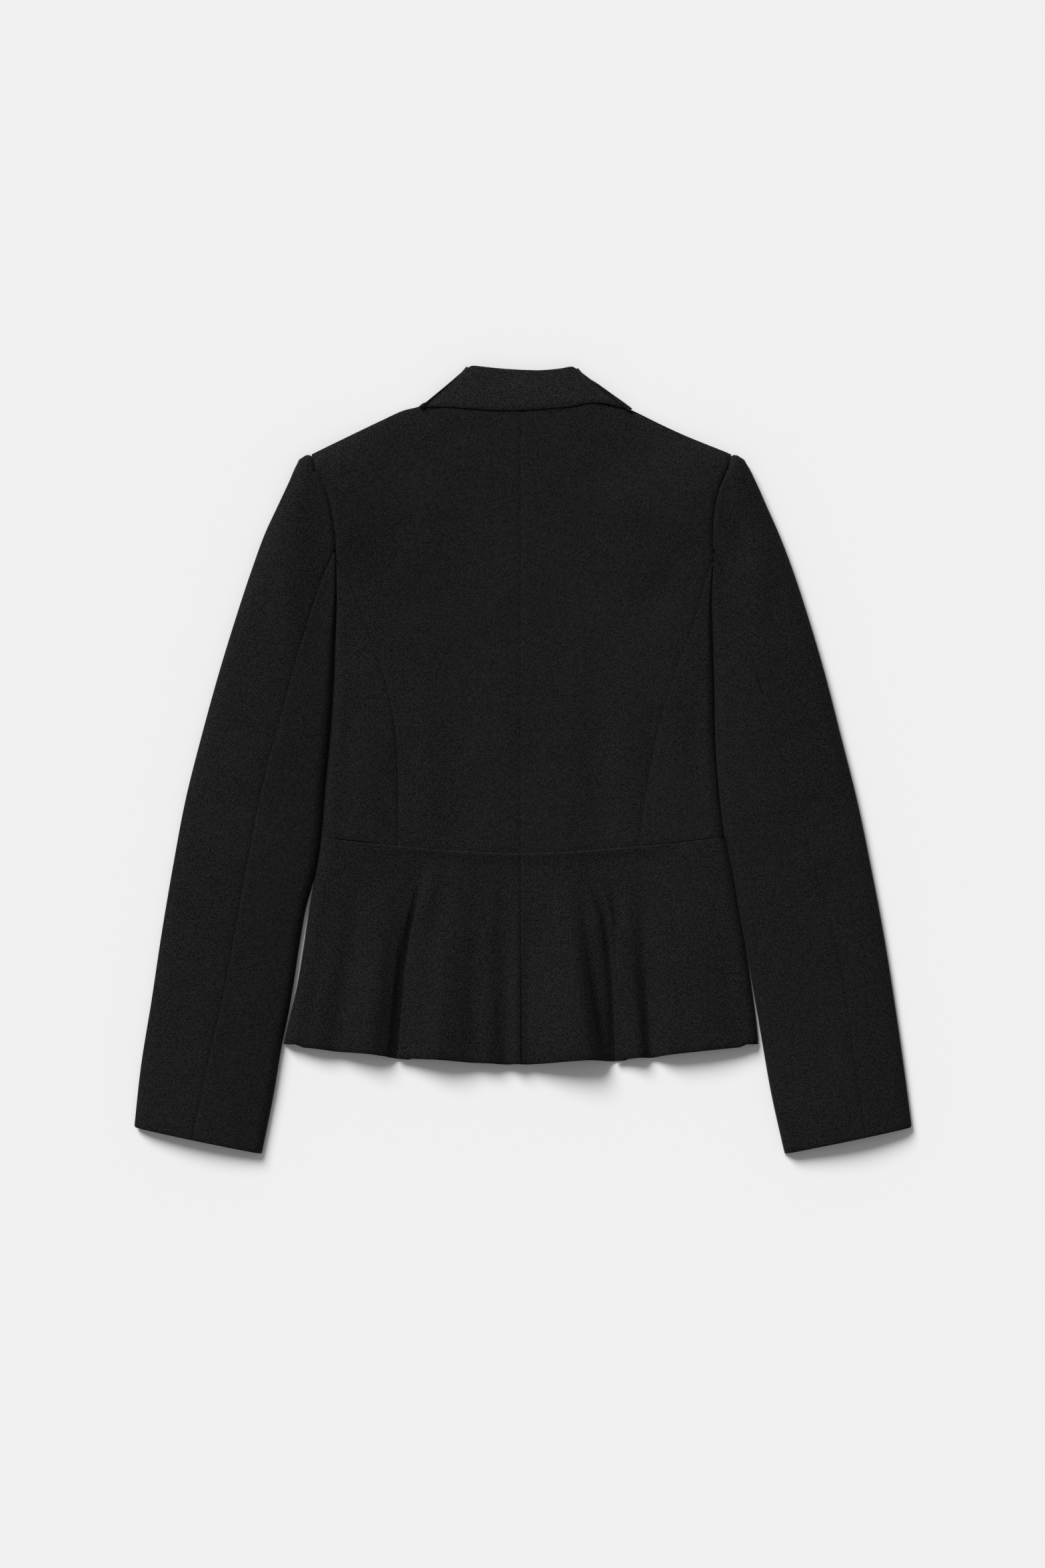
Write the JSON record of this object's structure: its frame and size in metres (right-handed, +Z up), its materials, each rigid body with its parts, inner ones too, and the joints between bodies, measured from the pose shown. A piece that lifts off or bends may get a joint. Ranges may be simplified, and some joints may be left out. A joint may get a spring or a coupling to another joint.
{
  "type": "peplum jacket",
  "caption": "Short black tailored women's jacket with a turned-over collar and a flared peplum, laid flat with its back up.",
  "frame": {"origin": "centre of the box's base, on the surface that the jacket lies on", "axes": "+Z up out of the back's upper face, +Y from the hem towards the collar, +X towards the wearer's right sleeve"},
  "size_m": [0.6876, 0.6969, 0.0161],
  "materials": {
    "body_cloth": "matt wool cloth",
    "sleeve_cloth": "matt wool cloth",
    "peplum_cloth": "matt wool cloth",
    "collar_cloth": "matt wool cloth"
  },
  "bodies": {
    "root": {"collar": "collar_cloth", "back_left": "body_cloth", "back_right": "body_cloth", "side_left": "body_cloth", "side_right": "body_cloth", "front_left": "body_cloth", "front_right": "body_cloth", "top_sleeve_left": "sleeve_cloth", "top_sleeve_right": "sleeve_cloth", "under_sleeve_left": "sleeve_cloth", "under_sleeve_right": "sleeve_cloth", "peplum_back_left": "peplum_cloth", "peplum_back_right": "peplum_cloth", "peplum_front_left": "peplum_cloth", "peplum_front_right": "peplum_cloth", "lapel_left": "collar_cloth", "lapel_right": "collar_cloth"}
  },
  "joints": []
}
